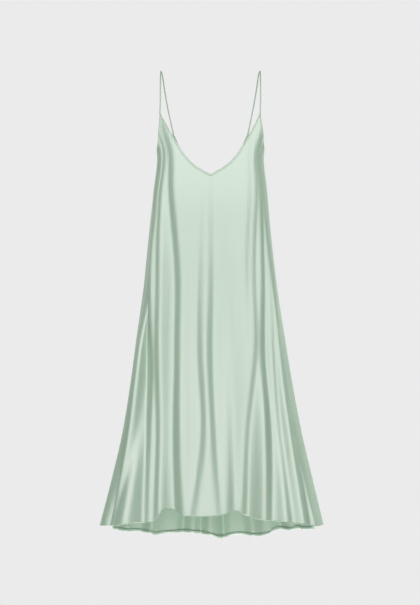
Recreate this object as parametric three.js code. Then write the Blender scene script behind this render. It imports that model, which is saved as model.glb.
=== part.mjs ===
// A midi slip dress in satin, filled out as if worn: a front and a back panel joined at the side
// seams, a narrow binding round the neck and armholes, and two thin straps over the shoulders.
// Millimetres, +Z up, the front faces -Y and +X is at the right of somebody looking at the front.
// The origin is midway between the two places where the straps rest on the shoulders.
import * as THREE from "three";
import { mergeVertices } from "three/addons/utils/BufferGeometryUtils.js";

// Cloth and trim
const CLOTH_WALL = 1.6;
const BINDING_WIDTH = 5;
const BINDING_PROUD = 0.4;
const STRAP_WIDTH = 3.6;
const SEAM_GAP = 0.3;

// Neck, armholes and straps. A turn is an angle round the body, 0 at the centre front, 90 at the
// right side seam, -90 at the left one and 180 at the centre back.
const SIDE_TURN = 90;
const FRONT_PEAK_TURN = 38;
const BACK_PEAK_TURN = 39.3;
const FRONT_V_LEVEL = -280;
const BACK_V_LEVEL = -332;
const SHOULDER_APART = 266;

// How square the body's sections are in front and behind: 2 is an ellipse.
const FRONT_POWER = 10;
const BACK_POWER = 2.25;

// The body of the dress: at each level, how far it reaches left, right, forward and back.
const SECTIONS = [
  { level: -60, left: 192, right: 188, front: 60, back: 92 },
  { level: -112, left: 176, right: 173, front: 70, back: 97 },
  { level: -165, left: 159, right: 160, front: 84, back: 102 },
  { level: -225, left: 143, right: 143, front: 100, back: 105 },
  { level: -324, left: 153, right: 152, front: 112, back: 108 },
  { level: -454, left: 167, right: 163, front: 116, back: 112 },
  { level: -583, left: 180, right: 180, front: 120, back: 122 },
  { level: -713, left: 198, right: 200, front: 128, back: 137 },
  { level: -842, left: 215, right: 221, front: 140, back: 153 },
  { level: -972, left: 236, right: 246, front: 156, back: 170 },
  { level: -1102, left: 266, right: 276, front: 174, back: 191 },
  { level: -1275, left: 311, right: 317, front: 198, back: 222 },
];

// The front neckline rises from the centre front to the strap, and the armhole falls from there
// to the side seam. The back has the same, from the centre back.
const FRONT_NECK = [
  { turn: 0, rise: 0 },
  { turn: 16.7, rise: 26 },
  { turn: 27, rise: 58 },
  { turn: 32.5, rise: 98 },
  { turn: 35.4, rise: 131 },
  { turn: 38, rise: 168 },
];
const FRONT_ARMHOLE = [
  { turn: 38, level: -112 },
  { turn: 40.2, level: -142 },
  { turn: 43.8, level: -173 },
  { turn: 49, level: -197 },
  { turn: 54, level: -210 },
  { turn: 66, level: -221 },
  { turn: 90, level: -224 },
];
const BACK_NECK = [
  { turn: 0, rise: 0 },
  { turn: 14, rise: 36 },
  { turn: 26, rise: 86 },
  { turn: 33.4, rise: 128 },
  { turn: 39.3, rise: 172 },
];
const BACK_ARMHOLE = [
  { turn: 39.3, level: -160 },
  { turn: 46, level: -187 },
  { turn: 55, level: -208 },
  { turn: 70, level: -223 },
  { turn: 90, level: -224 },
];

// The level of the hem, from the centre back round the left side and the front. It drops towards
// the back, and it is lifted at both sides of the centre front, where the folds carry it inwards.
const HEM = [
  { turn: -180, level: -1265 },
  { turn: -169, level: -1258 },
  { turn: -157, level: -1259 },
  { turn: -150, level: -1262 },
  { turn: -139, level: -1251 },
  { turn: -128, level: -1248 },
  { turn: -112, level: -1232 },
  { turn: -90, level: -1222 },
  { turn: -42.5, level: -1212 },
  { turn: -36, level: -1206 },
  { turn: -28.5, level: -1203 },
  { turn: -24, level: -1169 },
  { turn: -22, level: -1165 },
  { turn: -17.5, level: -1175 },
  { turn: -14, level: -1186 },
  { turn: 5, level: -1185 },
  { turn: 11, level: -1176 },
  { turn: 14, level: -1173 },
  { turn: 17, level: -1185 },
  { turn: 21, level: -1194 },
  { turn: 26.5, level: -1199 },
  { turn: 44.5, level: -1212 },
  { turn: 90, level: -1222 },
  { turn: 119, level: -1241 },
  { turn: 137, level: -1248 },
  { turn: 141, level: -1244 },
  { turn: 150, level: -1261 },
  { turn: 156, level: -1266 },
  { turn: 169, level: -1265 },
  { turn: 174.5, level: -1274 },
  { turn: 180, level: -1265 },
];

// The folds that hang in the cloth. Each row gives, at seven levels from the strap down to the hem,
// the fold's turn and how far it stands out of the body (a minus is a trough). Its half width is
// given at the first and last level. Its skew makes one of its sides steeper than the other.
const FOLD_LEVELS = [-115, -180, -300, -520, -750, -960, -1200];
const FOLDS = [
  { turn: [-40.5, -39, -38, -30, -26.5, -24, -18.5], out: [-4, -7, -9, -11, -13, -16, -19],
    width: [20, 30], skew: -0.4 },
  { turn: [-44.5, -44.5, -45, -41.5, -37, -32.5, -28], out: [-2, -3, -5, -7, -10, -13, -15],
    width: [14, 22], skew: -0.4 },
  { turn: [-62, -60, -56, -51, -41.5, -37, -32], out: [0, 0, -1, -7, -21, -19, -16],
    width: [14, 24], skew: -0.4 },
  { turn: [-66, -66, -64, -60, -56, -51, -48], out: [0, 0, 0, -3, -6, -16, -28],
    width: [14, 14], skew: -0.2 },
  { turn: [-52, -52, -49, -48, -45, -42, -43], out: [0, 0, 0, 0, -1, -9, -15],
    width: [20, 24], skew: -0.2 },
  { turn: [-11, -11, -11, -12, -11, -7.5, -12], out: [0, 0, -1, -4, -8, -9, -7],
    width: [30, 34], skew: -0.5 },
  { turn: [4, 4, 4, 4, 2.5, 4, 6.5], out: [0, 0, -2, -5, -9, -9, -5],
    width: [30, 30], skew: 0.5 },
  { turn: [16, 16, 16, 16, 16, 15, 13], out: [0, 0, 0, 0, -3, -9, -14],
    width: [28, 34], skew: 0.4 },
  { turn: [36, 37, 37, 31.5, 27.5, 24, 22.5], out: [0, -1, -2, -3, -1, 0, 0],
    width: [18, 18], skew: 0.4 },
  { turn: [41, 42, 41.5, 36, 32, 24, 18.5], out: [-2, -3, -4, -5, -6, -9, -15],
    width: [10, 26], skew: 0.4 },
  { turn: [45, 45, 46, 41.5, 36, 34, 29], out: [-4, -6, -7, -8, -12, -17, -16],
    width: [10, 26], skew: 0.4 },
  { turn: [54, 54, 52, 47, 41.5, 38.8, 36.5], out: [0, 0, 0, -2, -10, -11, -13],
    width: [16, 22], skew: 0.4 },
  { turn: [66, 66, 62, 56, 48.5, 45.5, 43], out: [0, 0, 0, 0, -9, -14, -16],
    width: [16, 22], skew: 0.4 },
  { turn: [78, 78, 74, 66, 56, 51, 50], out: [0, 0, 0, 0, -6, -12, -15],
    width: [14, 20], skew: 0.4 },
  { turn: [90, 90, 90, 86, 78, 70, 62], out: [0, 0, -3, -7, -10, -13, -18],
    width: [14, 20], skew: 0.2 },
  { turn: [-90, -90, -90, -88, -82, -75, -68], out: [0, 0, -3, -7, -11, -14, -20],
    width: [14, 20], skew: -0.2 },
  { turn: [119, 119, 119, 115, 107, 98, 90], out: [0, 0, -3, -7, -10, -14, -20],
    width: [14, 20], skew: 0.2 },
  { turn: [-119, -119, -117, -113, -107, -101, -95], out: [0, 0, -3, -7, -11, -15, -22],
    width: [14, 20], skew: -0.2 },
  { turn: [128, 128, 128, 125, 119, 113, 106], out: [0, -1, -6, -9, -13, -16, -22],
    width: [13, 20], skew: 0.2 },
  { turn: [-133, -133, -132, -129, -124, -119, -111], out: [-1, -3, -7, -10, -13, -17, -23],
    width: [13, 20], skew: -0.2 },
  { turn: [141, 141, 139, 137, 133, 130, 123], out: [-8, -8, -10, -11, -14, -17, -23],
    width: [9, 20], skew: 0 },
  { turn: [-141, -141, -141, -139, -137, -134, -130], out: [-8, -8, -10, -10, -12, -16, -22],
    width: [9, 20], skew: 0 },
  { turn: [149, 149, 150, 149, 146, 144, 141], out: [-2, -2, -5, -8, -10, -13, -20],
    width: [11, 20], skew: 0.2 },
  { turn: [-154, -154, -154, -154, -152, -150, -147], out: [0, 0, -4, -6, -9, -12, -20],
    width: [12, 21], skew: -0.2 },
  { turn: [163, 163, 164, 164, 162, 160, 158], out: [0, 0, 0, -5, -8, -11, -19],
    width: [13, 21], skew: -0.2 },
  { turn: [179, 179, 179, 179, 179, 180, 180], out: [0, 0, -4, -6, -7, -7, -8],
    width: [11, 16], skew: 0 },
];

// How finely the shapes are cut into faces
const WALL_ROWS = 15;
const FRONT_ARMHOLE_COLUMNS = 30;
const FRONT_NECK_COLUMNS = 18;
const BACK_ARMHOLE_COLUMNS = 22;
const BACK_NECK_COLUMNS = 17;
const STRAP_SIDES = 8;
const STRAP_STEPS = 34;

const SATIN = new THREE.MeshStandardMaterial({
  color: 0xbdd6c1,
  roughness: 0.42,
  metalness: 0,
  side: THREE.DoubleSide,
});
const TRIM = new THREE.MeshStandardMaterial({ color: 0xb4cfb9, roughness: 0.5, metalness: 0 });

const radians = THREE.MathUtils.degToRad;

// Reads a column of a table between its rows, on a cubic that passes through every row.
function read(rows, key, at, column) {
  const end = rows.length - 1;
  const sign = Math.sign(rows[end][key] - rows[0][key]);
  let i = 0;
  while (i < end - 1 && sign * (at - rows[i + 1][key]) > 0) i += 1;
  const slope = (k) => {
    const a = rows[Math.max(k - 1, 0)];
    const b = rows[Math.min(k + 1, end)];
    return (b[column] - a[column]) / (b[key] - a[key]);
  };
  const step = rows[i + 1][key] - rows[i][key];
  const t = THREE.MathUtils.clamp((at - rows[i][key]) / step, 0, 1);
  const t2 = t * t;
  const t3 = t2 * t;
  return (
    (2 * t3 - 3 * t2 + 1) * rows[i][column] +
    (t3 - 2 * t2 + t) * step * slope(i) +
    (3 * t2 - 2 * t3) * rows[i + 1][column] +
    (t3 - t2) * step * slope(i + 1)
  );
}

// Each fold with its turns and its stand-outs as rows, one for each level
const FOLD_ROWS = FOLDS.map((fold) => ({
  ...fold,
  rows: FOLD_LEVELS.map((level, i) => ({ level, turn: fold.turn[i], out: fold.out[i] })),
}));

// A fold's width at a level, on a straight line from its first to its last.
function between(two, level) {
  const share = THREE.MathUtils.mapLinear(level, FOLD_LEVELS[0], FOLD_LEVELS.at(-1), 0, 1);
  return THREE.MathUtils.lerp(two[0], two[1], THREE.MathUtils.clamp(share, 0, 1));
}

// Shortest way round from one turn to another.
const apart = (a, b) => THREE.MathUtils.euclideanModulo(a - b + 180, 360) - 180;

// The section's reaches at a level.
const reach = (level, side) => read(SECTIONS, "level", level, side);

// The smooth body under the folds.
function body(turn, level) {
  const across = Math.sin(radians(turn));
  const ahead = Math.cos(radians(turn));
  const sideways = reach(level, across < 0 ? "left" : "right");
  const forward = reach(level, ahead > 0 ? "front" : "back");
  const power = ahead > 0 ? FRONT_POWER : BACK_POWER;
  const size = (Math.abs(across) ** power + Math.abs(ahead) ** power) ** (1 / power);
  return new THREE.Vector2((sideways * across) / size, (-forward * ahead) / size);
}

// Millimetres along the body for each degree of turn.
function perDegree(turn, level) {
  const nearby = 3;
  return body(turn + nearby, level).distanceTo(body(turn - nearby, level)) / (2 * nearby);
}

// How far all the folds together move the cloth outwards at a place.
function foldOut(turn, level) {
  return FOLD_ROWS.reduce((sum, fold) => {
    const centre = read(fold.rows, "level", level, "turn");
    const degrees = apart(turn, centre);
    const side = 1 + fold.skew * Math.sign(degrees);
    const away = (degrees * perDegree(centre, level)) / (between(fold.width, level) * side);
    return sum + read(fold.rows, "level", level, "out") * Math.exp(-away * away);
  }, 0);
}

// The outward direction across a curve round the body, from two points a little either side.
function outward(curve, turn) {
  const nearby = 0.25;
  const along = curve(turn + nearby).sub(curve(turn - nearby));
  return new THREE.Vector2(along.y, -along.x).normalize();
}

// A point of the folded cloth, moved outwards across the cloth by a distance.
function cloth(turn, level, out = 0) {
  const smooth = (t) => body(t, level);
  const folded = (t) => smooth(t).addScaledVector(outward(smooth, t), foldOut(t, level));
  const at = folded(turn).addScaledVector(outward(folded, turn), out);
  return new THREE.Vector3(at.x, at.y, level);
}

// Where the hem is at a turn.
const hem = (turn) => read(HEM, "turn", apart(turn, 0), "level");

// The top edge of the whole dress at a turn, with its bindings.
function topEdge(turn) {
  const front = Math.abs(apart(turn, 0));
  const back = 180 - front;
  if (front <= FRONT_PEAK_TURN) return FRONT_V_LEVEL + read(FRONT_NECK, "turn", front, "rise");
  if (front <= SIDE_TURN) return read(FRONT_ARMHOLE, "turn", front, "level");
  if (back >= BACK_PEAK_TURN) return read(BACK_ARMHOLE, "turn", back, "level");
  return BACK_V_LEVEL + read(BACK_NECK, "turn", back, "rise");
}

// The level where a band of this width under the top edge ends, measured square to the edge.
function underEdge(turn, width) {
  const step = 0.5;
  const rise = topEdge(turn + step) - topEdge(turn - step);
  const run = 2 * step * perDegree(turn, topEdge(turn));
  const steepest = 2.2;
  const slope = Math.min(Math.abs(rise / run), steepest);
  return topEdge(turn) - width * Math.hypot(1, slope);
}

// Even turns from one to another, both ends included.
const spread = (from, to, count) =>
  Array.from({ length: count + 1 }, (_, i) => from + ((to - from) * i) / count);

// Joins runs of turns that share their ends.
const chained = (...runs) => runs.flatMap((run, i) => (i ? run.slice(1) : run));

// Turns that end half a seam gap short of a seam.
function insideSeams(turns, level) {
  const short = SEAM_GAP / 2 / radians(reach(level, "front"));
  return turns.map((turn, i) => {
    if (i === 0) return turn + short;
    return i === turns.length - 1 ? turn - short : turn;
  });
}

// A closed wall from columns of points: columns[c][r] holds a face's outer and inner points.
function wall(columns) {
  const rows = columns[0].length;
  const positions = [];
  const indices = [];
  columns.flat().forEach(({ outer, inner }) => positions.push(...outer, ...inner));
  const outer = (c, r) => 2 * (c * rows + r);
  const inner = (c, r) => outer(c, r) + 1;
  const quad = (a, b, c, d) => indices.push(a, b, c, a, c, d);
  const lastColumn = columns.length - 1;
  const lastRow = rows - 1;
  for (let c = 0; c < lastColumn; c += 1) {
    for (let r = 0; r < lastRow; r += 1) {
      quad(outer(c, r), outer(c + 1, r), outer(c + 1, r + 1), outer(c, r + 1));
      quad(inner(c, r), inner(c, r + 1), inner(c + 1, r + 1), inner(c + 1, r));
    }
    quad(outer(c, 0), inner(c, 0), inner(c + 1, 0), outer(c + 1, 0));
    quad(outer(c, lastRow), outer(c + 1, lastRow), inner(c + 1, lastRow), inner(c, lastRow));
  }
  for (let r = 0; r < lastRow; r += 1) {
    quad(outer(0, r), outer(0, r + 1), inner(0, r + 1), inner(0, r));
    quad(outer(lastColumn, r), inner(lastColumn, r), inner(lastColumn, r + 1), outer(lastColumn, r + 1));
  }
  const geometry = new THREE.BufferGeometry();
  geometry.setAttribute("position", new THREE.Float32BufferAttribute(positions, 3));
  geometry.setIndex(indices);
  geometry.computeVertexNormals();
  return geometry;
}

// A wall of cloth over a run of turns, between a bottom and a top level at each turn.
function clothWall(turns, rows, bottom, top, out, thick) {
  const columns = turns.map((_, c) =>
    spread(0, 1, rows).map((share) => {
      const level = THREE.MathUtils.lerp(bottom(turns[c]), top(turns[c]), share);
      const turn = insideSeams(turns, level)[c];
      return { outer: cloth(turn, level, out), inner: cloth(turn, level, out - thick) };
    }),
  );
  return wall(columns);
}

function mesh(name, geometry, material) {
  const made = new THREE.Mesh(geometry, material);
  made.name = name;
  return made;
}

// Front and back panels: one wall each, from the hem up to just under the bindings.
const underBinding = (turn) => underEdge(turn, BINDING_WIDTH + SEAM_GAP);

function frontPanel() {
  const turns = chained(
    spread(-SIDE_TURN, -FRONT_PEAK_TURN, FRONT_ARMHOLE_COLUMNS),
    spread(-FRONT_PEAK_TURN, 0, FRONT_NECK_COLUMNS),
    spread(0, FRONT_PEAK_TURN, FRONT_NECK_COLUMNS),
    spread(FRONT_PEAK_TURN, SIDE_TURN, FRONT_ARMHOLE_COLUMNS),
  );
  return mesh("front_panel", clothWall(turns, WALL_ROWS, hem, underBinding, 0, CLOTH_WALL), SATIN);
}

function backPanel() {
  const rightPeak = 180 - BACK_PEAK_TURN;
  const leftPeak = 180 + BACK_PEAK_TURN;
  const turns = chained(
    spread(SIDE_TURN, rightPeak, BACK_ARMHOLE_COLUMNS),
    spread(rightPeak, 180, BACK_NECK_COLUMNS),
    spread(180, leftPeak, BACK_NECK_COLUMNS),
    spread(leftPeak, 360 - SIDE_TURN, BACK_ARMHOLE_COLUMNS),
  );
  return mesh("back_panel", clothWall(turns, WALL_ROWS, hem, underBinding, 0, CLOTH_WALL), SATIN);
}

// Bindings: a folded strip along an edge, a little thicker than the cloth that it holds.
function binding(name, turns) {
  const bottom = (turn) => underEdge(turn, BINDING_WIDTH);
  const thick = CLOTH_WALL + 2 * BINDING_PROUD;
  return mesh(name, clothWall(turns, 1, bottom, topEdge, BINDING_PROUD, thick), TRIM);
}

function bindings() {
  const rightPeak = 180 - BACK_PEAK_TURN;
  const armhole = chained(
    spread(FRONT_PEAK_TURN, SIDE_TURN, FRONT_ARMHOLE_COLUMNS),
    spread(SIDE_TURN, rightPeak, BACK_ARMHOLE_COLUMNS),
  );
  return [
    binding("front_neck_binding", spread(-FRONT_PEAK_TURN, FRONT_PEAK_TURN, 2 * FRONT_NECK_COLUMNS)),
    binding("back_neck_binding", spread(rightPeak, 180 + BACK_PEAK_TURN, 2 * BACK_NECK_COLUMNS)),
    binding("right_armhole_binding", armhole),
    binding("left_armhole_binding", armhole.map((turn) => -turn).reverse()),
  ];
}

// Straps: a thin turned tube from the front peak, over the shoulder, to the back peak.
function strapPath(side) {
  const half = SHOULDER_APART / 2;
  const round = STRAP_WIDTH / 2;
  const middle = BINDING_PROUD - (CLOTH_WALL + 2 * BINDING_PROUD) / 2;
  const frontPeak = cloth(side * FRONT_PEAK_TURN, topEdge(FRONT_PEAK_TURN), middle);
  const backPeak = cloth(side * (180 - BACK_PEAK_TURN), topEdge(180 - BACK_PEAK_TURN), middle);
  const above = new THREE.Vector3(0, 0, SEAM_GAP);
  return new THREE.CatmullRomCurve3([
    frontPeak.add(above),
    new THREE.Vector3(side * (half + 1.5), -55, -70),
    new THREE.Vector3(side * (half + 1.5), -41, -30),
    new THREE.Vector3(side * (half + 1), -19, -5 + round),
    new THREE.Vector3(side * half, 4, round),
    new THREE.Vector3(side * (half - 3), 28, -9 + round),
    new THREE.Vector3(side * (half - 7.5), 49, -40),
    new THREE.Vector3(side * (half - 18), 69, -100),
    backPeak.add(above),
  ]);
}

function strap(name, side) {
  const outline = new THREE.Shape(
    spread(0, 360, STRAP_SIDES)
      .slice(0, -1)
      .map((angle) => new THREE.Vector2(Math.cos(radians(angle)), Math.sin(radians(angle))))
      .map((point) => point.multiplyScalar(STRAP_WIDTH / 2)),
  );
  const tube = new THREE.ExtrudeGeometry(outline, { steps: STRAP_STEPS, extrudePath: strapPath(side) });
  tube.deleteAttribute("normal");
  tube.deleteAttribute("uv");
  const closed = mergeVertices(tube, 1e-3);
  closed.computeVertexNormals();
  return mesh(name, closed, TRIM);
}

const dress = new THREE.Group();
dress.name = "slip_dress";
dress.add(frontPanel(), backPanel(), ...bindings(), strap("left_strap", -1), strap("right_strap", 1));

export default dress;
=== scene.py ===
import math

import bmesh
import bpy
import numpy as np
from mathutils import Matrix, Vector


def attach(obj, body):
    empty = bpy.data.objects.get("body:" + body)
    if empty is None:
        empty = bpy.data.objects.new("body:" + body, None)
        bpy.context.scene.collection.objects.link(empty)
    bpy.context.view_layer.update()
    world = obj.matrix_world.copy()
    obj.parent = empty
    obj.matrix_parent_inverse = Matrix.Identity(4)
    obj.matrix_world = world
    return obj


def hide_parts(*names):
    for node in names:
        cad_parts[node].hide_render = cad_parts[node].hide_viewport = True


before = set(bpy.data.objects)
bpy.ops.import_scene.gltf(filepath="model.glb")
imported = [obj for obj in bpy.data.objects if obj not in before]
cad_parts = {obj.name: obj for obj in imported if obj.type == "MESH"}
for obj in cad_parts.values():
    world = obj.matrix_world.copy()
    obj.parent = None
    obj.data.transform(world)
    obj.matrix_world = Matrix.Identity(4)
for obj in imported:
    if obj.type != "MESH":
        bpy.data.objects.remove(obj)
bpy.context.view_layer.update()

# The camera stands far off in front, level with the middle of the dress, as in the photograph.
# Its image is 605 pixels high, and each of them shows 2.7 mm of the dress.
PIXEL = 0.0027
IMAGE_HEIGHT = 605
STAND_OFF = 9.0
EYE_LEVEL = -0.622
EYE_ACROSS = -PIXEL / 2
FARTHEST_SEEN = 60
SENSOR_HEIGHT = 36

camera_data = bpy.data.cameras.new("camera")
camera_data.sensor_width = SENSOR_HEIGHT
camera_data.lens = SENSOR_HEIGHT * STAND_OFF / (IMAGE_HEIGHT * PIXEL)
camera_data.clip_end = FARTHEST_SEEN
camera = bpy.data.objects.new("camera", camera_data)
camera.location = (EYE_ACROSS, -STAND_OFF, EYE_LEVEL)
camera.rotation_euler = (math.radians(90), 0, 0)
bpy.context.scene.collection.objects.link(camera)
bpy.context.scene.camera = camera
bpy.context.scene.view_settings.view_transform = "Standard"

# The studio: a flat pale grey all round, as behind the dress in the photograph, and a pale floor
# well below the hem. One large soft light hangs above the camera, weaker ones are at both sides
# and behind, and a small one below the dress lights the inside of its back.
BACKDROP_GREY = 0.831
ROOM_LIGHT = 0.08
FLOOR_LEVEL = -2.7
FLOOR_RADIUS = 2.4
FLOOR_SIDES = 96
FLOOR_GREY = 0.62
FLOOR_ROUGHNESS = 0.9
LIGHTS_WITHOUT_SHEEN = ("left_light", "right_light")
# A light's turn is its angle round the dress, 0 in front, and its aim is the level it points at.
SOFT_LIGHTS = [
    {"name": "front_light", "turn": 0, "reach": 4.5, "level": 1.5, "size": 6.6, "watts": 260},
    {"name": "hem_light", "turn": 0, "reach": 0.12, "level": -2.0, "aim": -1.25, "size": 0.6, "watts": 6.5},
    {"name": "back_light", "turn": 180, "reach": 4.5, "level": -0.4, "size": 6.0, "watts": 70},
    {"name": "left_light", "turn": -120, "reach": 4.5, "level": -0.5, "size": 3.4, "watts": 120},
    {"name": "right_light", "turn": 120, "reach": 4.5, "level": -0.5, "size": 3.4, "watts": 200},
]


class Shade:
    """One output of a shader node. A sum or product of Shades adds the Math node for it."""

    def __init__(self, tree, output=None):
        self.tree = tree
        self.output = output

    def node(self, kind, settings=None, inputs=None, result=0):
        made = self.tree.nodes.new(kind)
        for name, value in (settings or {}).items():
            setattr(made, name, value)
        for key, value in (inputs or {}).items():
            if isinstance(value, Shade):
                self.tree.links.new(value.output, made.inputs[key])
            else:
                made.inputs[key].default_value = value
        return Shade(self.tree, made.outputs[result] if made.outputs else None)

    def maths(self, operation, *values):
        return self.node("ShaderNodeMath", {"operation": operation}, dict(enumerate(values)))

    def __add__(self, other):
        return self.maths("ADD", self, other)

    def __mul__(self, other):
        return self.maths("MULTIPLY", self, other)

    __radd__ = __add__
    __rmul__ = __mul__


world = bpy.data.worlds.new("studio")
bpy.context.scene.world = world
world.use_nodes = True
world.node_tree.nodes.clear()
sky = Shade(world.node_tree)
seen_straight = sky.node("ShaderNodeLightPath")
strength = seen_straight * (BACKDROP_GREY - ROOM_LIGHT) + ROOM_LIGHT
glow = sky.node("ShaderNodeBackground", {}, {"Color": (1, 1, 1, 1), "Strength": strength})
sky.node("ShaderNodeOutputWorld", {}, {"Surface": glow})

for row in SOFT_LIGHTS:
    lamp_data = bpy.data.lights.new(row["name"], "AREA")
    lamp_data.shape = "DISK"
    lamp_data.size = row["size"]
    lamp_data.energy = row["watts"]
    lamp = bpy.data.objects.new(row["name"], lamp_data)
    around = math.radians(row["turn"])
    away = row["reach"]
    lamp.location = (away * math.sin(around), -away * math.cos(around), row["level"])
    aim = Vector((0, 0, row.get("aim", EYE_LEVEL))) - lamp.location
    lamp.rotation_euler = aim.to_track_quat("-Z", "Y").to_euler()
    lamp.visible_camera = False
    lamp.visible_glossy = row["name"] not in LIGHTS_WITHOUT_SHEEN
    bpy.context.scene.collection.objects.link(lamp)


def piece_from(shape, name, material, smooth=True):
    """Ends a bmesh as one object with a material."""
    data = bpy.data.meshes.new(name)
    for face in shape.faces:
        face.smooth = smooth
    shape.to_mesh(data)
    shape.free()
    data.materials.append(material)
    made = bpy.data.objects.new(name, data)
    bpy.context.scene.collection.objects.link(made)
    return made


def new_material(name):
    """A material with an empty tree, and the Shade that adds to it."""
    made = bpy.data.materials.new(name)
    made.use_nodes = True
    made.node_tree.nodes.clear()
    return made, Shade(made.node_tree)


def finish_material(shade, sockets):
    """Closes a material with one surface shader."""
    surface = shade.node("ShaderNodeBsdfPrincipled", {}, sockets)
    shade.node("ShaderNodeOutputMaterial", {}, {"Surface": surface})


floor_material, shade = new_material("floor_paint")
paint = (FLOOR_GREY, FLOOR_GREY, FLOOR_GREY, 1)
finish_material(shade, {"Base Color": paint, "Roughness": FLOOR_ROUGHNESS})
shape = bmesh.new()
bmesh.ops.create_circle(shape, cap_ends=True, segments=FLOOR_SIDES, radius=FLOOR_RADIUS)
bmesh.ops.translate(shape, verts=shape.verts, vec=(0, 0, FLOOR_LEVEL))
piece_from(shape, "floor", floor_material, smooth=False)

# Front and back panels: each is one piece of satin, cut as a flared shape with a V at the top, so
# that the cloth falls from the straps in long folds that deepen into flutes at the hem. The panels
# are sewn together down both sides, and the hem is turned up once.
MM = 0.001
# From here on, sizes are millimetres where no comment says metres, and a turn is an angle round
# the dress: 0 at the centre front, 90 at the right side seam, -90 at the left one, 180 behind.
SIDE_TURN = 90
FRONT_PEAK_TURN = 38
BACK_PEAK_TURN = 39.3
FRONT_V_LEVEL = -280
BACK_V_LEVEL = -332
CLOTH_THICKNESS = 0.5
SEAM_ALLOWANCE = 8
PANEL_COLUMNS = 236
PANEL_ROWS = 138

# How square the body's sections are in front and behind: 2 is an ellipse
FRONT_POWER = 10
BACK_POWER = 2.25
# How far the dress reaches left, right, forward and back at each level, under its folds
SECTIONS = {
    "level": (-60, -112, -165, -225, -324, -454, -583, -713, -842, -972, -1102, -1275),
    "left": (192, 176, 159, 143, 153, 167, 180, 198, 215, 236, 266, 311),
    "right": (188, 173, 160, 143, 152, 163, 180, 200, 221, 246, 276, 317),
    "front": (60, 70, 84, 100, 112, 116, 120, 128, 140, 156, 174, 198),
    "back": (92, 97, 102, 105, 108, 112, 122, 137, 153, 170, 191, 222),
}

# The edges: how far the neck rises above its V, and the levels of the armholes and the hem
FRONT_NECK = {"turn": (0, 16.7, 27, 32.5, 35.4, 38), "rise": (0, 26, 58, 98, 131, 168)}
FRONT_ARMHOLE = {
    "turn": (38, 40.2, 43.8, 49, 54, 66, 90),
    "level": (-112, -142, -173, -197, -210, -221, -224),
}
BACK_NECK = {"turn": (0, 14, 26, 33.4, 39.3), "rise": (0, 36, 86, 128, 172)}
BACK_ARMHOLE = {"turn": (39.3, 46, 55, 70, 90), "level": (-160, -187, -208, -223, -224)}
# The level of the hem at each turn, from the centre back round the left side and the front
HEM = {
    "turn": (
        -180, -169, -157, -150, -146, -139, -128, -112, -90, -42.5, -36, -28.5, -26, -24, -22, -17.5, -14,
        5, 11, 14, 17, 21, 26.5, 36.5, 44.5, 90, 119, 131, 137, 141, 147, 150, 156, 163, 169, 174.5, 180,
    ),
    "level": (
        -1265, -1258, -1259, -1262, -1256, -1251, -1248, -1232, -1222, -1212, -1206, -1203, -1191, -1169,
        -1165, -1175, -1186, -1185, -1176, -1173, -1185, -1194, -1199, -1204, -1212, -1222, -1241, -1241,
        -1248, -1244, -1251, -1261, -1266, -1263, -1265, -1274, -1265,
    ),
}

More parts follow.
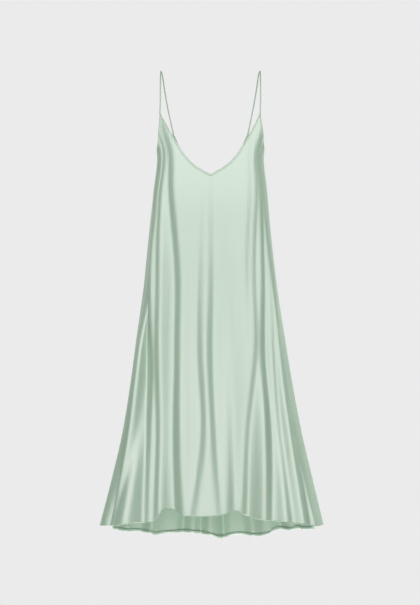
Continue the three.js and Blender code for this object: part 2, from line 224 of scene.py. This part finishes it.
# The folds. Each has its turn and how far it stands out of the body (a minus is a trough) at seven
# levels, from the strap down to the hem, and its half width at the top and at the bottom. Its skew
# makes one of its sides steeper than the other.
FOLD_LEVELS = (-115, -180, -300, -520, -750, -960, -1200)
FOLDS = [
    {"turn": (-39.5, -40, -38, -30, -26.5, -24, -18.5), "out": (-3, -6, -8, -10, -13, -16, -19),
     "width": (20, 30), "skew": -0.4},
    {"turn": (-44.5, -44.5, -45, -41.5, -37, -32.5, -28), "out": (-2, -3, -5, -7, -10, -13, -15),
     "width": (14, 22), "skew": -0.4},
    {"turn": (-62, -60, -56, -51, -41.5, -37, -32), "out": (0, 0, -1, -7, -21, -19, -16),
     "width": (14, 24), "skew": -0.4},
    {"turn": (-66, -66, -64, -60, -56, -51, -48), "out": (0, 0, 0, -3, -6, -16, -28),
     "width": (14, 14), "skew": -0.2},
    {"turn": (-52, -52, -49, -48, -45, -42, -43), "out": (0, 0, 0, 0, -1, -9, -15),
     "width": (20, 24), "skew": -0.2},
    {"turn": (-11, -11, -11, -12, -11, -7.5, -12), "out": (0, 0, -1, -4, -8, -9, -7),
     "width": (30, 34), "skew": -0.5},
    {"turn": (4, 4, 4, 4, 2.5, 4, 6.5), "out": (0, 0, -2, -5, -9, -9, -5),
     "width": (30, 30), "skew": 0.5},
    {"turn": (16, 16, 16, 16, 16, 15, 13), "out": (0, 0, 0, 0, -3, -9, -14),
     "width": (28, 34), "skew": 0.4},
    {"turn": (36, 37, 37, 31.5, 27.5, 24, 22.5), "out": (0, -1, -2, -3, -1, 0, 0),
     "width": (18, 18), "skew": 0.4},
    {"turn": (41, 42, 41.5, 36, 32, 24, 18.5), "out": (-1, -2, -3, -5, -6, -9, -15),
     "width": (10, 26), "skew": 0.4},
    {"turn": (45, 45, 46, 41.5, 36, 34, 29), "out": (-3, -4.5, -6, -8, -12, -17, -16),
     "width": (10, 26), "skew": 0.4},
    {"turn": (54, 54, 52, 47, 41.5, 38.8, 36.5), "out": (0, 0, 0, -2, -10, -11, -13),
     "width": (16, 22), "skew": 0.4},
    {"turn": (66, 66, 62, 56, 48.5, 45.5, 43), "out": (0, 0, 0, 0, -9, -14, -16),
     "width": (16, 22), "skew": 0.4},
    {"turn": (78, 78, 74, 66, 56, 51, 50), "out": (0, 0, 0, 0, -6, -12, -15),
     "width": (14, 20), "skew": 0.4},
    {"turn": (90, 90, 90, 86, 78, 70, 62), "out": (0, 0, -3, -7, -10, -13, -18),
     "width": (14, 20), "skew": 0.2},
    {"turn": (-90, -90, -90, -88, -82, -75, -68), "out": (0, 0, -3, -7, -11, -14, -20),
     "width": (14, 20), "skew": -0.2},
    {"turn": (119, 119, 119, 115, 107, 98, 90), "out": (0, 0, -3, -7, -10, -14, -20),
     "width": (14, 20), "skew": 0.2},
    {"turn": (-119, -119, -117, -113, -107, -101, -95), "out": (0, 0, -3, -7, -11, -15, -22),
     "width": (14, 20), "skew": -0.2},
    {"turn": (128, 128, 128, 125, 119, 113, 106), "out": (0, -1, -6, -9, -13, -16, -22),
     "width": (13, 20), "skew": 0.2},
    {"turn": (-133, -133, -132, -129, -124, -119, -111), "out": (-1, -3, -7, -10, -13, -17, -23),
     "width": (13, 20), "skew": -0.2},
    {"turn": (141, 141, 139, 137, 133, 130, 123), "out": (-8, -8, -10, -11, -14, -17, -23),
     "width": (9, 20), "skew": 0},
    {"turn": (-141, -141, -141, -139, -137, -134, -130), "out": (-8, -8, -10, -10, -12, -16, -22),
     "width": (9, 20), "skew": 0},
    {"turn": (149, 149, 150, 149, 146, 144, 141), "out": (-2, -2, -5, -8, -10, -13, -20),
     "width": (11, 20), "skew": 0.2},
    {"turn": (-154, -154, -154, -154, -152, -150, -147), "out": (0, 0, -4, -6, -9, -12, -20),
     "width": (12, 21), "skew": -0.2},
    {"turn": (163, 163, 164, 164, 162, 160, 158), "out": (0, 0, 0, -5, -8, -11, -19),
     "width": (13, 21), "skew": -0.2},
    {"turn": (172, 172, 172, 172, 173.5, 173.5, 173.5), "out": (0, 0, 0, 1, 3, 7, 16),
     "width": (10, 10), "skew": 0},
    {"turn": (179, 179, 179, 179, 179, 180, 180), "out": (0, 0, -4, -6, -7, -7, -8),
     "width": (11, 16), "skew": 0},
    {"turn": (-174, -174, -174, -175, -175, -175, -175), "out": (0, 0, 0, 1, 3, 7, 15),
     "width": (10, 10), "skew": 0},
    {"turn": (-168, -168, -169, -169, -168, -167, -166), "out": (0, 0, 0, -2, 0, 5, 17),
     "width": (12, 12), "skew": 0},
]


def through(stops, values, at):
    """Reads a table between its rows, on a cubic that passes through every row."""
    stops = np.array(stops, float)
    values = np.array(values, float)
    if stops[0] > stops[-1]:
        stops, values = stops[::-1], values[::-1]
    before = np.maximum(np.arange(len(stops)) - 1, 0)
    after = np.minimum(np.arange(len(stops)) + 1, len(stops) - 1)
    slopes = (values[after] - values[before]) / (stops[after] - stops[before])
    at = np.clip(at, stops[0], stops[-1])
    i = np.clip(np.searchsorted(stops, at, side="right") - 1, 0, len(stops) - 2)
    step = stops[i + 1] - stops[i]
    t = (at - stops[i]) / step
    rise = values[i + 1] - values[i]
    bend = t * (1 - t) * ((1 - t) * (step * slopes[i] - rise) - t * (step * slopes[i + 1] - rise))
    return values[i] + t * rise + bend


def reach(side, level):
    return through(SECTIONS["level"], SECTIONS[side], level)


def body(turn, level):
    """The smooth dress under its folds: x and y, one row each."""
    around = np.radians(turn)
    across = np.sin(around)
    along = np.cos(around)
    sideways = np.where(across < 0, reach("left", level), reach("right", level))
    forward = np.where(along > 0, reach("front", level), reach("back", level))
    power = np.where(along > 0, FRONT_POWER, BACK_POWER)
    size = (np.abs(across) ** power + np.abs(along) ** power) ** (1 / power)
    return np.stack([sideways * across / size, -forward * along / size])


def per_degree(turn, level):
    """Millimetres along the cloth for each degree of turn."""
    nearby = 3
    return np.linalg.norm(body(turn + nearby, level) - body(turn - nearby, level), axis=0) / (2 * nearby)


def apart(a, b):
    """The shortest way round from one turn to another."""
    return (a - b + 180) % 360 - 180


def fold_out(turn, level):
    """How far all the folds together move the cloth outwards."""
    total = np.zeros_like(turn)
    for fold in FOLDS:
        centre = through(FOLD_LEVELS, fold["turn"], level)
        width = np.interp(-level, (-FOLD_LEVELS[0], -FOLD_LEVELS[-1]), fold["width"])
        away = apart(turn, centre) * per_degree(centre, level) / width
        away /= 1 + fold["skew"] * np.sign(away)
        total += through(FOLD_LEVELS, fold["out"], level) * np.exp(-away * away)
    return total


def outward(curve, turn):
    """The outward direction across a curve round the dress."""
    nearby = 0.25
    along = curve(turn + nearby) - curve(turn - nearby)
    return np.stack([along[1], -along[0]]) / np.linalg.norm(along, axis=0)


def cloth(turn, level, out=0.0):
    """Points of the folded cloth in millimetres, moved outwards by a distance."""
    turn, level, out = np.broadcast_arrays(np.array(turn, float), level, out)
    smooth = lambda t: body(t, level)
    folded = lambda t: smooth(t) + outward(smooth, t) * fold_out(t, level)
    x, y = folded(turn) + outward(folded, turn) * out
    return np.stack([x, y, level], axis=-1)


def hem(turn):
    """Where the hem is at a turn."""
    return through(HEM["turn"], HEM["level"], apart(turn, 0))


def top_edge(turn):
    """The top edge of the whole dress at a turn, with its bindings."""
    front = np.abs(apart(turn, 0))
    back = 180 - front
    return np.select(
        [front <= FRONT_PEAK_TURN, front <= SIDE_TURN, back >= BACK_PEAK_TURN],
        [
            FRONT_V_LEVEL + through(FRONT_NECK["turn"], FRONT_NECK["rise"], front),
            through(FRONT_ARMHOLE["turn"], FRONT_ARMHOLE["level"], front),
            through(BACK_ARMHOLE["turn"], BACK_ARMHOLE["level"], back),
        ],
        BACK_V_LEVEL + through(BACK_NECK["turn"], BACK_NECK["rise"], back),
    )


def under_edge(turn, width):
    """The level of a line that runs at this distance under the top edge, square to it."""
    step = 0.5
    steepest = 2.2
    run = 2 * step * per_degree(turn, top_edge(turn))
    slope = np.abs(top_edge(turn + step) - top_edge(turn - step)) / run
    return top_edge(turn) - width * np.hypot(1, np.minimum(slope, steepest))


def sheet_from(places, name, material):
    """A sheet over a grid of points, places[row][column], with a map in metres along the cloth."""
    rows, columns = places.shape[0] - 1, places.shape[1] - 1
    shape = bmesh.new()
    bmesh.ops.create_grid(shape, x_segments=columns, y_segments=rows, size=1)
    steps = np.linalg.norm(np.diff(places, axis=1), axis=2)
    along = np.concatenate([np.zeros((rows + 1, 1)), np.cumsum(steps, axis=1)], axis=1)
    along -= along[:, [columns // 2]]
    uv = shape.loops.layers.uv.new("cloth")
    for vertex in shape.verts:
        column = round((vertex.co.x + 1) / 2 * columns)
        row = round((vertex.co.y + 1) / 2 * rows)
        vertex.index = row * (columns + 1) + column
    for vertex in shape.verts:
        row, column = divmod(vertex.index, columns + 1)
        vertex.co = places[row, column] * MM
    for face in shape.faces:
        for loop in face.loops:
            row, column = divmod(loop.vert.index, columns + 1)
            loop[uv].uv = (along[row, column] * MM, places[row, column, 2] * MM)
    return piece_from(shape, name, material)


def thicken(piece, thickness, offset):
    """Gives a sheet its thickness, in millimetres."""
    wall = piece.modifiers.new("cloth_thickness", "SOLIDIFY")
    wall.thickness = thickness * MM
    wall.offset = offset


# The turned-up hem, from its raw edge inside, down round the fold and up over its stitch line
HEM_TURN_UP = {
    "rise": (7.0, 5.5, 3.5, 1.5, 0.4, 0.0, 0.4, 1.5, 3.5, 5.2, 6.2, 7.2, 8.5),
    "out": (-1.1, -1.2, -1.3, -1.3, -1.1, -0.6, -0.1, 0.15, 0.2, 0.1, -0.2, 0.0, 0.0),
}
# The side seams: where the columns next to a seam lie, in millimetres past it, and how far in
FRONT_SEAM = {"past": (-3, -1.5, -0.5, 0, 0.6, SEAM_ALLOWANCE), "out": (0, -0.1, -0.3, -0.6, -1.2, -1.3)}
BACK_SEAM = {"past": (-3, -1.5, -0.5, 0), "out": (0, -0.05, -0.2, -0.5)}


def panel_places(from_turn, to_turn, seam):
    """The points of one panel, from its turned-up hem to inside the bindings."""
    past = np.array(seam["past"], float)
    seam_out = np.array(seam["out"], float)
    # The plain columns start this many degrees from a seam, past the seam's own columns.
    inset = 1.6
    plain = PANEL_COLUMNS - 2 * len(past)
    edge = np.concatenate([past[::-1], np.zeros(plain + 1), past])
    column_out = np.concatenate([seam_out[::-1], np.zeros(plain + 1), seam_out])
    side = np.concatenate([-np.ones(len(past)), np.zeros(plain + 1), np.ones(len(past))])
    middle = np.linspace(from_turn + inset, to_turn - inset, plain + 1)
    column_turn = np.concatenate([np.full(len(past), from_turn), middle, np.full(len(past), to_turn)])
    rise = HEM_TURN_UP["rise"]
    turned = len(rise)
    share = np.clip(np.arange(PANEL_ROWS + 1) - turned + 1, 0, None) / (PANEL_ROWS - turned + 1)
    row_out = np.concatenate([HEM_TURN_UP["out"], np.zeros(PANEL_ROWS + 1 - turned)])
    row_rise = np.concatenate([rise, np.full(PANEL_ROWS + 1 - turned, rise[-1])])
    # The top of the panel goes up into the bindings, to this far under their edge.
    tucked = 1.0
    low = hem(column_turn)[None, :] + row_rise[:, None]
    high = under_edge(column_turn, tucked)[None, :]
    level = low + (high - low) * share[:, None]
    turn = column_turn[None, :] + side * edge / per_degree(column_turn[None, :] + 0 * level, level)
    return cloth(turn, level, row_out[:, None] + column_out[None, :])


# The satin: cool mint, smooth and faintly streaked down its length, with a soft sheen
SATIN_MINT = (0.455, 0.62, 0.475)
SATIN_SHADE = (0.425, 0.585, 0.445)
SATIN_ROUGHNESS = 0.42
SATIN_ROUGHNESS_SPREAD = 0.08
SATIN_GLOSS = {"Specular IOR Level": 1.0, "IOR": 1.9}
# How long each kind of mark is across and along the cloth, in metres, and how fine its edges are
STREAKS = {"across": 0.012, "along": 0.35, "detail": 3}
CLOUDS = {"across": 0.16, "along": 0.4, "detail": 2}
SLUBS = {"across": 0.0016, "along": 0.05, "detail": 2}
THREADS = {"across": 0.00035, "along": 0.004, "detail": 1}
# How much of the tone comes from streaks and clouds, how high each mark stands as a share of the
# relief, and the relief itself, in metres
STREAK_TONE = 0.55
CLOUD_TONE = 0.45
STREAK_HEIGHT = 0.7
SLUB_HEIGHT = 0.07
THREAD_HEIGHT = 0.02
RELIEF = {"Strength": 0.5, "Distance": 0.0012}


def satin(name, light, dark, roughness, turned=0):
    """Satin on the piece's own map, in metres. A strip cut on the bias has its map turned."""
    made, shade = new_material(name)
    place = shade.node("ShaderNodeUVMap", {"uv_map": "cloth"})
    place = shade.node(
        "ShaderNodeMapping", {}, {"Vector": place, "Rotation": (0, 0, math.radians(turned))}
    )

    def noise(across, along, detail):
        stretched = shade.node(
            "ShaderNodeMapping", {}, {"Vector": place, "Scale": (1 / across, 1 / along, 1)}
        )
        return shade.node("ShaderNodeTexNoise", {}, {"Vector": stretched, "Scale": 1, "Detail": detail})

    streaks = noise(**STREAKS)
    slubs = noise(**SLUBS)
    clouds = noise(**CLOUDS)
    threads = noise(**THREADS)
    tone = streaks * STREAK_TONE + clouds * CLOUD_TONE
    colour = shade.node(
        "ShaderNodeMix",
        {"data_type": "RGBA"},
        {"Factor": tone, "A": (*dark, 1), "B": (*light, 1)},
        result="Result",
    )
    height = streaks * STREAK_HEIGHT + slubs * SLUB_HEIGHT + threads * THREAD_HEIGHT
    bump = shade.node("ShaderNodeBump", {}, {**RELIEF, "Height": height})
    lowest = roughness - SATIN_ROUGHNESS_SPREAD / 2
    rough = slubs * SATIN_ROUGHNESS_SPREAD + lowest
    finish_material(shade, {"Base Color": colour, "Roughness": rough, "Normal": bump, **SATIN_GLOSS})
    return made


satin_cloth = satin("mint_satin", SATIN_MINT, SATIN_SHADE, SATIN_ROUGHNESS)
for name, from_turn, to_turn, seam in (
    ("front", -SIDE_TURN, SIDE_TURN, FRONT_SEAM),
    ("back", SIDE_TURN, 360 - SIDE_TURN, BACK_SEAM),
):
    panel = sheet_from(panel_places(from_turn, to_turn, seam), f"{name}_satin", satin_cloth)
    thicken(panel, CLOTH_THICKNESS, 0)
    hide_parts(f"{name}_panel")
    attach(panel, "root")

# Stitches: a fine sewing thread a shade paler than the satin. A lockstitch line holds the hem's
# turn-up, and another runs along the lower edge of each binding.
STITCH_PITCH = 2.8
STITCH_LENGTH = 2.3
STITCH_WIDTH = 0.42
STITCH_HEIGHT = 0.28
STITCH_LINE_POINTS = 1500
THREAD_COLOUR = (0.5, 0.67, 0.51)
THREAD_ROUGHNESS = 0.4
THREAD_ROUGHNESS_SPREAD = 0.1
# The twist of the thread, by the metre, and its relief, in metres
THREAD_TWIST = {"Scale": 4000, "Detail": 1}
THREAD_RELIEF = {"Strength": 0.4, "Distance": 0.0001}

thread, shade = new_material("sewing_thread")
place = shade.node("ShaderNodeTexCoord", result="Object")
twist = shade.node("ShaderNodeTexNoise", {}, {"Vector": place, **THREAD_TWIST})
twist_bump = shade.node("ShaderNodeBump", {}, {**THREAD_RELIEF, "Height": twist})
rough = twist * THREAD_ROUGHNESS_SPREAD + THREAD_ROUGHNESS
finish_material(shade, {"Base Color": (*THREAD_COLOUR, 1), "Roughness": rough, "Normal": twist_bump})


def stitch_row(name, turns, level_of, out):
    """A line of stitches that lie on the cloth, along the level that a function gives."""
    turn = np.linspace(turns[0], turns[1], STITCH_LINE_POINTS)
    line = cloth(turn, level_of(turn), out)
    off = cloth(turn, level_of(turn), out + 1) - line
    run = np.concatenate([[0], np.cumsum(np.linalg.norm(np.diff(line, axis=0), axis=1))])
    starts = np.arange(STITCH_PITCH, run[-1] - STITCH_PITCH, STITCH_PITCH)
    at = lambda values, where: np.stack([np.interp(where, run, values[:, k]) for k in range(3)], axis=1)
    middles = at(line, starts)
    heads = at(line, starts + STITCH_LENGTH / 2) - at(line, starts - STITCH_LENGTH / 2)
    shape = bmesh.new()
    for middle, head, up in zip(middles, heads, at(off, starts)):
        along = Vector(head).normalized()
        side = along.cross(Vector(up)).normalized()
        rise = side.cross(along)
        sizes = Matrix((along * STITCH_LENGTH, side * STITCH_WIDTH, rise * STITCH_HEIGHT)).transposed()
        form = Matrix.Translation(Vector(middle) * MM) @ (sizes * (MM / 2)).to_4x4()
        bmesh.ops.create_icosphere(shape, subdivisions=1, radius=1, matrix=form)
    made = piece_from(shape, name, thread)
    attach(made, "root")
    return made


HEM_STITCH_RISE = 6.2
HEM_STITCH_OUT = 0.1
for name, turns in (("front", (-SIDE_TURN, SIDE_TURN)), ("back", (SIDE_TURN, 360 - SIDE_TURN))):
    stitch_row(
        f"{name}_hem_stitches", turns, lambda turn: hem(turn) + HEM_STITCH_RISE, HEM_STITCH_OUT
    )

# Bindings: narrow strips of the same satin, cut on the bias and folded over the raw edge of the
# neck and of each armhole, then stitched through along their lower edge.
BIAS = 45
BINDING_WALL = 0.3
BINDING_STITCH = 4.1
BINDING_STITCH_OUT = 0.45
# The strip's section, from its lower edge outside, up over the cloth's edge and down inside
BINDING_SECTION = {
    "under": (5.0, 4.7, 4.3, 4.1, 3.9, 3.3, 1.5, 0.4, 0.0, 0.4, 1.5, 3.3, 4.1, 4.7, 5.0),
    "out": (0.3, 0.5, 0.45, 0.3, 0.45, 0.62, 0.65, 0.45, -0.1, -0.65, -0.85, -0.8, -0.55, -0.7, -0.5),
}
BINDINGS = [
    {"name": "front_neck", "from": -FRONT_PEAK_TURN, "to": FRONT_PEAK_TURN, "columns": 200},
    {"name": "back_neck", "from": 180 - BACK_PEAK_TURN, "to": 180 + BACK_PEAK_TURN, "columns": 180},
    {"name": "right_armhole", "from": FRONT_PEAK_TURN, "to": 180 - BACK_PEAK_TURN, "columns": 190},
    {"name": "left_armhole", "from": BACK_PEAK_TURN - 180, "to": -FRONT_PEAK_TURN, "columns": 190},
]
BINDING_MINT = (0.44, 0.61, 0.45)
BINDING_SHADE = (0.41, 0.58, 0.42)
BIAS_ROUGHNESS = 0.45
binding_cloth = satin("mint_satin_on_the_bias", BINDING_MINT, BINDING_SHADE, BIAS_ROUGHNESS, BIAS)
for row in BINDINGS:
    turn = np.linspace(row["from"], row["to"], row["columns"] + 1)[None, :]
    under = np.array(BINDING_SECTION["under"])[:, None]
    out = np.array(BINDING_SECTION["out"])[:, None]
    places = cloth(turn, under_edge(turn, under), out)
    strip = sheet_from(places, f"{row['name']}_strip", binding_cloth)
    thicken(strip, BINDING_WALL, 0)
    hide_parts(f"{row['name']}_binding")
    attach(strip, "root")
    sewn = stitch_row(
        f"{row['name']}_stitches",
        (row["from"], row["to"]),
        lambda turn: under_edge(turn, BINDING_STITCH),
        BINDING_STITCH_OUT,
    )

# Straps: thin tubes of the satin, sewn along one side and turned, so that a fine seam runs along
# them. Each goes from a front peak over the shoulder to a back one, its ends inside the bindings.
STRAP_WIDTH = 3.6
STRAP_ROUND = STRAP_WIDTH / 2
STRAP_SIDES = 20
STRAP_STEPS = 260
STRAP_JOINED_WITHIN = 0.01
# The seam: its depth, half width and place round the tube, and how far and how slowly it wanders
STRAP_SEAM_DEPTH = 0.35
STRAP_SEAM_HALF_WIDTH = 0.13
STRAP_SEAM_TURN = 200
STRAP_SEAM_WANDER = 0.5
STRAP_SEAM_WANDER_LENGTH = 60
# The puckers beside it: their height as a share of the tube, and how fast they follow each other,
# grow and fall, and change their pace
STRAP_PUCKER = 0.07
STRAP_PUCKER_PACE = 1.3
STRAP_PUCKER_GROWTH = 0.37
STRAP_PUCKER_CHANGE = 0.11
# The sewn ends: how much thinner and wider the tube gets there, over which length, and how far it
# goes down into the bindings
STRAP_END_THINNER = 0.55
STRAP_END_WIDER = 0.25
STRAP_END_LENGTH = 7
STRAP_TUCKED = 4
SHOULDER = 133
STRAP_PATH = [
    (SHOULDER + 1.5, -55, -70),
    (SHOULDER + 1.5, -41, -30),
    (SHOULDER + 1, -19, -5 + STRAP_ROUND),
    (SHOULDER, 4, STRAP_ROUND),
    (SHOULDER - 3, 28, -9 + STRAP_ROUND),
    (SHOULDER - 7.5, 49, -40),
    (SHOULDER - 18, 69, -100),
]
STRAP_MINT = (0.46, 0.61, 0.47)
STRAP_SHADE = (0.43, 0.58, 0.44)
strap_satin = satin("mint_satin_tube", STRAP_MINT, STRAP_SHADE, BIAS_ROUGHNESS, BIAS)


def strap_places(side):
    """The points of one strap, a ring of them for each step along it."""
    middle_of_wall = -0.8
    ends = [
        cloth(side * turn, top_edge(np.array(turn)) - STRAP_TUCKED, middle_of_wall)
        for turn in (FRONT_PEAK_TURN, 180 - BACK_PEAK_TURN)
    ]
    points = np.array([ends[0], *[(side * x, y, z) for x, y, z in STRAP_PATH], ends[1]])
    run = np.concatenate([[0], np.cumsum(np.linalg.norm(np.diff(points, axis=0), axis=1))])
    share = np.linspace(0, run[-1], STRAP_STEPS + 1)
    line = np.stack([through(run, points[:, k], share) for k in range(3)], axis=1)
    along = np.gradient(line, axis=0)
    along /= np.linalg.norm(along, axis=1)[:, None]
    across = np.array([side, 0, 0]) - along * (along[:, :1] * side)
    across /= np.linalg.norm(across, axis=1)[:, None]
    up = np.cross(across, along) * side
    angle = np.linspace(0, 2 * np.pi, STRAP_SIDES + 1)
    to_end = np.minimum(share, run[-1] - share)
    flat = 1 - STRAP_END_THINNER * np.exp(-((to_end / STRAP_END_LENGTH) ** 2))
    wave = np.sin(share * STRAP_PUCKER_PACE + np.sin(share * STRAP_PUCKER_CHANGE))
    pucker = 1 + STRAP_PUCKER * wave * np.cos(share * STRAP_PUCKER_GROWTH)
    wander = STRAP_SEAM_WANDER * np.sin(share / STRAP_SEAM_WANDER_LENGTH)
    seam_angle = np.radians(STRAP_SEAM_TURN) + wander
    from_seam = np.sin((angle[None, :] - seam_angle[:, None]) / 2) / STRAP_SEAM_HALF_WIDTH
    near_seam = np.exp(-(from_seam**2))
    out_to = STRAP_ROUND * pucker[:, None] - STRAP_SEAM_DEPTH * near_seam
    wide = out_to * np.cos(angle) * (1 + STRAP_END_WIDER * (1 - flat))[:, None]
    thick = out_to * np.sin(angle) * flat[:, None]
    return line[:, None] + across[:, None] * wide[..., None] + up[:, None] * thick[..., None]


for side, name in ((-1, "left_strap"), (1, "right_strap")):
    tube = sheet_from(strap_places(side), f"{name}_tube", strap_satin)
    shape = bmesh.new()
    shape.from_mesh(tube.data)
    bmesh.ops.remove_doubles(shape, verts=shape.verts, dist=STRAP_JOINED_WITHIN * MM)
    rims = [edge for edge in shape.edges if edge.is_boundary]
    bmesh.ops.holes_fill(shape, edges=rims, sides=STRAP_SIDES)
    bmesh.ops.recalc_face_normals(shape, faces=shape.faces)
    shape.to_mesh(tube.data)
    shape.free()
    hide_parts(name)
    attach(tube, "root")
